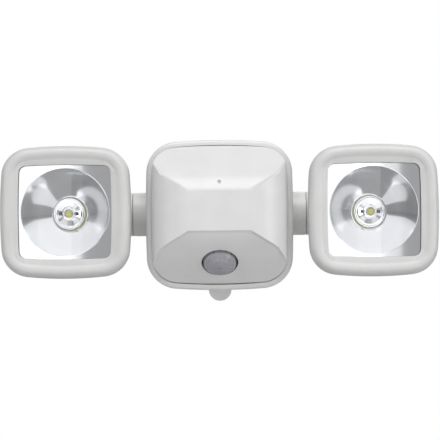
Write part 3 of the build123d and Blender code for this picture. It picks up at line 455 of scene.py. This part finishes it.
def add_bezel(side):
    """Rolled front frame of a head, sloping in to the window, with a closed section."""
    sections = [(HEAD, HEAD_JOINT, JOINT_EDGE), (HEAD, HEAD_JOINT + JOINT_EDGE, 0.0)]
    for step in range(10):
        angle = radians(10 * step)
        depth = HEAD_FRONT - ROLL_H + ROLL_H * sin(angle)
        sections.append((HEAD, depth, ROLL_OUT * (1 - cos(angle))))
    for share in (0.25, 0.5, 0.75, 1.0):
        sections.append((HEAD, HEAD_FRONT - ROLL_DIP * share * share, ROLL_OUT + ROLL_IN * share))
    sections += [(WINDOW, depth, inset) for depth, inset in LEDGE]
    sections += [
        (WINDOW, WINDOW_FRONT, WINDOW_ROOM),
        (WINDOW, BEZEL_CAVITY, WINDOW_ROOM),
        (HEAD, BEZEL_CAVITY, BEZEL_WALL),
        (HEAD, HEAD_JOINT, BEZEL_WALL),
    ]
    bm = bmesh.new()
    loops = [open_outline(bm, *shape, depth, HEAD_CENTRE, inset) for shape, depth, inset in sections]
    for first, second in zip(loops, loops[1:] + loops[:1]):
        bmesh.ops.bridge_loops(bm, edges=first + second)
    # The bezel takes the darkened copy of the grey plastic: painted shade.
    keep_on_head(bm, side, "bezel_frame", "grey_plastic", "bezel", "head_plastic_painted_shade", sharp=40)


def face_front(bm):
    """Turns an open sheet's faces so that they look away from the wall."""
    bmesh.ops.recalc_face_normals(bm, faces=bm.faces)
    if sum(face.normal.y * face.calc_area() for face in bm.faces) > 0:
        bmesh.ops.reverse_faces(bm, faces=bm.faces)


def bowl_profile():
    """Side of the bowl: a shallow cone round the LED, then a wall that is less steep towards its rim."""
    stride = (BOWL_RIM - BOWL_NECK) / BOWL_STEPS
    easing = (RIM_SLOPE - NECK_SLOPE) / BOWL_STEPS
    slopes = [tan(radians(NECK_SLOPE + easing * (step + 0.5))) for step in range(BOWL_STEPS)]
    rise = (BOWL_BRIM - BOWL_FLOOR) / sum(slopes)
    wall = [(BOWL_NECK, BOWL_FLOOR)]
    for slope in slopes:
        wall.append((wall[-1][0] + stride, wall[-1][1] + rise * slope))
    return [(SEAT_R, BOWL_FLOOR), *wall[2:]]  # the cone meets the wall at its third point


def add_reflector(side):
    """Mirrored bowl in a flat flange that fills the window."""
    bm = bmesh.new()
    outer = open_outline(bm, *WINDOW, FLANGE, HEAD_CENTRE, FLANGE_INSET)
    turned(bm, [*COLLAR, *bowl_profile(), *RIM_LIP])
    rim = [e for e in bm.edges if e.is_boundary and e not in outer and e.verts[0].co.y < -BOWL_BRIM]
    bmesh.ops.bridge_loops(bm, edges=rim + outer)
    face_front(bm)
    bm = worked(bm, ("SOLIDIFY", {"thickness": MIRROR_T, "offset": -1.0, "use_even_offset": True}))
    keep_on_head(bm, side, "mirror_bowl", "mirror_metal", "reflector", sharp=12)


def add_led(side):
    """White base, two dark tabs beside it and the yellow chip."""
    x, z = HEAD_CENTRE
    bm = bmesh.new()
    turned(bm, LED_BASE, 48)
    keep_on_head(bm, side, "led_base", "led_yellow", "led", "ceramic_white")
    bm = bmesh.new()
    for way in (-1, 1):
        place = Matrix.Translation((x + TAB_OUT * way, -TAB_DEPTH, z))
        block(bm, LED_TAB, place @ Matrix.Rotation(-way * TAB_TILT, 4, "Z"))
    round_edges(bm, TAB_EDGE)
    keep_on_head(bm, side, "led_tabs", "led_yellow", "led", "rubber")
    bm = bmesh.new()
    block(bm, LED_CHIP, Matrix.Translation((x, -CHIP_DEPTH, z)))
    round_edges(bm, CHIP_EDGE)
    keep_on_head(bm, side, "led_chip", "led_yellow", "led")


# ---- front shell: a raised band between two sloping facets ----
BODY = (115.4, 117.7, (1.4, 3.4), 24.6)  # width, height, bulges and corner radius, as for the heads
SHELL_INSET, SHELL_BACK, SHELL_T = 4.95, 78.0, 2.6
SHELL_CORNER_STEPS = 14
RIDGE = 120.0  # depth of the band's middle
BAND_Z, BAND_HALF_H, BAND_STEP = 2.0, 15.2, 1.1
CREASE = ((0.0, 15.2), (24.0, 15.2), (45.2, 28.1), (60.6, 51.8))  # upper right edge of the band
CREASE_SLANT = 1.6
ROLLS = ((24.0, 0.0), (41.0, 5.6), (50.6, 17.6), (53.35, 29.5))  # across the shell, and back from the ridge
ROLL_CUTS = (9, 9, 6)
FACET_TURN = (12.9, 8.7)  # up from the band's edge, and back from the ridge
FACET_SLOPE = radians(47.0)
FINE_CUT, FINE_CUTS = 2.15, 13  # level cuts from the band's middle up and down
COARSE_CUT, COARSE_CUTS = 3.2, 9  # and further on
PIPE_Z, PIPE_HOLE_R, PIPE_HOLE_L, PIPE_HOLE_MID = 23.9, 1.4, 60.0, 110.0
SENSOR_Z, SENSOR_HOLE_R, SENSOR_HOLE_L = -37.6, 14.2, 16.0


def arc(start, end, angle):
    """Radius of the arc that leaves a start at an angle and passes an end, and its angle there."""
    chord = atan2(end[1] - start[1], end[0] - start[0])
    return hypot(end[0] - start[0], end[1] - start[1]) / (2 * sin(chord - angle)), 2 * chord - angle


def arc_rise(radius, angle, run):
    """How much an arc that starts at an angle has risen after a run."""
    return radius * (cos(angle) - cos(asin(min(run / radius + sin(angle), 1.0))))


def band_back(x):
    """How far the band lies behind the ridge, across the shell."""
    angle, back = 0.0, 0.0
    for start, end in zip(ROLLS, ROLLS[1:]):
        radius, end_angle = arc(start, end, angle)
        if abs(x) > start[0]:
            back = start[1] + arc_rise(radius, angle, min(abs(x), end[0]) - start[0])
        angle = end_angle
    return back


def facet_back(z):
    """How far a facet lies behind the ridge, up or down the shell."""
    beyond = max(abs(z - BAND_Z) - BAND_HALF_H, 0.0)
    start_angle = 2 * atan2(FACET_TURN[1], FACET_TURN[0]) - FACET_SLOPE
    radius, _ = arc((0.0, 0.0), FACET_TURN, start_angle)
    past = max(beyond - FACET_TURN[0], 0.0)
    return BAND_STEP + arc_rise(radius, start_angle, beyond - past) + past * tan(FACET_SLOPE)


def crease_lines(offset):
    """Lines along the band's edge, moved out by an offset: a point and the direction out of the band."""
    lines = []
    for a, b in zip(CREASE, CREASE[1:]):
        length = hypot(b[0] - a[0], b[1] - a[1])
        out = ((a[1] - b[1]) / length, (b[0] - a[0]) / length)
        lines.append(((a[0] + offset * out[0], a[1] + offset * out[1]), out))
    return lines


def shell_depth(x, z):
    """Depth of the front shell's face: the band, a slanted edge, then the facet."""
    up = abs(z - BAND_Z)
    gaps = [(abs(x) - p[0]) * n[0] + (up - p[1]) * n[1] for p, n in crease_lines(0.0)]
    share = min(max(min(gaps) / CREASE_SLANT, 0.0), 1.0)
    band = band_back(x)
    facet = max(band, facet_back(z))
    return RIDGE - band - share * (facet - band)


def shell_cuts():
    """Planes that give the flat blank its edges: both sides of each crease, then upright and level cuts."""
    planes = []
    for offset in (0.0, CREASE_SLANT):
        for (px, pz), (nx, nz) in crease_lines(offset):
            for sx in (-1, 1):
                for sz in (-1, 1):
                    planes.append(((sx * px, 0, BAND_Z + sz * pz), (sx * nx, 0, sz * nz)))
    for start, end, count in zip(ROLLS, ROLLS[1:], ROLL_CUTS):
        for step in range(count):
            x = start[0] + (end[0] - start[0]) * step / count
            planes += [((x, 0, 0), (1, 0, 0)), ((-x, 0, 0), (1, 0, 0))]
    levels = [FINE_CUT * step for step in range(-FINE_CUTS, FINE_CUTS + 1)]
    for step in range(1, COARSE_CUTS + 1):
        level = FINE_CUT * FINE_CUTS + COARSE_CUT * step
        levels += [-level, level]
    return planes + [((0, 0, BAND_Z + level), (0, 0, 1)) for level in levels]


def sensor_frame():
    """Matrix of the sensor's own axes: z points out of the lower facet, and y up its slope."""
    out = Vector((0, -cos(FACET_SLOPE), -sin(FACET_SLOPE)))
    across = Vector((1, 0, 0))
    up = out.cross(across)
    turn = Matrix((across, up, out)).transposed().to_4x4()
    return Matrix.Translation((0, facet_back(SENSOR_Z) - RIDGE, SENSOR_Z)) @ turn


def hole_cutter():
    """Object that bores the holes of the sensor and the light pipe."""
    bm = bmesh.new()
    front_to_back = Matrix.Translation((0, -PIPE_HOLE_MID, PIPE_Z)) @ Matrix.Rotation(radians(90), 4, "X")
    for radius, length, segments, place in (
        (SENSOR_HOLE_R, SENSOR_HOLE_L, 72, sensor_frame()),
        (PIPE_HOLE_R, PIPE_HOLE_L, 32, front_to_back),
    ):
        bmesh.ops.create_cone(bm, cap_ends=True, segments=segments, radius1=radius, radius2=radius,
                              depth=length, matrix=place)
    mesh = bpy.data.meshes.new("holes")
    bm.to_mesh(mesh)
    bm.free()
    cutter = bpy.data.objects.new("holes", mesh)
    bpy.context.scene.collection.objects.link(cutter)
    return cutter


def add_front_shell():
    """A flat blank, cut along its creases, pressed to the shell's depth and given its rim and wall."""
    bm = bmesh.new()
    outline(bm, *BODY, 0.0, inset=SHELL_INSET, steps=SHELL_CORNER_STEPS)
    cut(bm, shell_cuts())
    for vert in bm.verts:
        vert.co.y = -shell_depth(vert.co.x, vert.co.z)
    rim = bmesh.ops.extrude_edge_only(bm, edges=[e for e in bm.edges if e.is_boundary])["geom"]
    for item in rim:
        if isinstance(item, bmesh.types.BMVert):
            item.co.y = -SHELL_BACK
    bmesh.ops.recalc_face_normals(bm, faces=bm.faces)
    cutter = hole_cutter()
    bm = worked(bm, ("SOLIDIFY", {"thickness": SHELL_T, "offset": -1.0, "use_even_offset": False}),
                ("BOOLEAN", {"object": cutter, "operation": "DIFFERENCE", "solver": "EXACT"}))
    bpy.data.objects.remove(cutter)
    keep(bm, "front_face", "unit", "grey_plastic", ["front_shell"], sharp=17)


# ---- motion sensor ----
LENS_R, LENS_DOME_H, LENS_PROUD = 12.6, 6.4, 1.0
LENS_RINGS, LENS_CELLS = 4, 16  # cells of a ring
CELL_INSET = 0.22
LENS_SKIRT, LENS_T = 4.3, 0.9


def add_sensor_lens():
    """Domed sensor window: rings of small lenses that stand a little proud of their joints."""
    ball = (LENS_R ** 2 + LENS_DOME_H ** 2) / (2 * LENS_DOME_H)
    ball_z = LENS_PROUD + LENS_DOME_H - ball
    angles = [asin(LENS_R / ball) * k / LENS_RINGS for k in range(LENS_RINGS + 1)]
    bm = bmesh.new()
    profile = [bm.verts.new((ball * sin(angle), 0, ball_z + ball * cos(angle))) for angle in angles]
    edges = [bm.edges.new(pair) for pair in zip(profile, profile[1:])]
    bmesh.ops.spin(bm, geom=profile + edges, cent=(0, 0, 0), axis=(0, 0, 1), angle=2 * pi, steps=LENS_CELLS,
                   use_merge=True)
    bmesh.ops.remove_doubles(bm, verts=bm.verts, dist=0.001)
    bmesh.ops.recalc_face_normals(bm, faces=bm.faces)
    rim = [e for e in bm.edges if e.is_boundary]
    bmesh.ops.inset_individual(bm, faces=list(bm.faces), thickness=CELL_INSET, depth=CELL_INSET,
                               use_even_offset=True)
    skirt = bmesh.ops.extrude_edge_only(bm, edges=rim)["geom"]
    low = [item for item in skirt if isinstance(item, bmesh.types.BMVert)]
    bmesh.ops.translate(bm, verts=low, vec=(0, 0, -LENS_SKIRT))
    bmesh.ops.transform(bm, matrix=sensor_frame(), verts=bm.verts)
    bm = worked(bm, ("SOLIDIFY", {"thickness": LENS_T, "offset": -1.0}))
    keep(bm, "sensor_dome", "unit", "sensor_plastic", ["sensor_lens"], sharp=12)


place_camera()
white_world()
lay_floor()
light_studio()
materials = make_materials()
dress_nodes()
add_front_shell()
add_sensor_lens()
for side in (1, -1):
    add_bezel(side)
    add_reflector(side)
    add_led(side)

bpy.context.scene.view_settings.view_transform = "Standard"
bpy.context.view_layer.update()
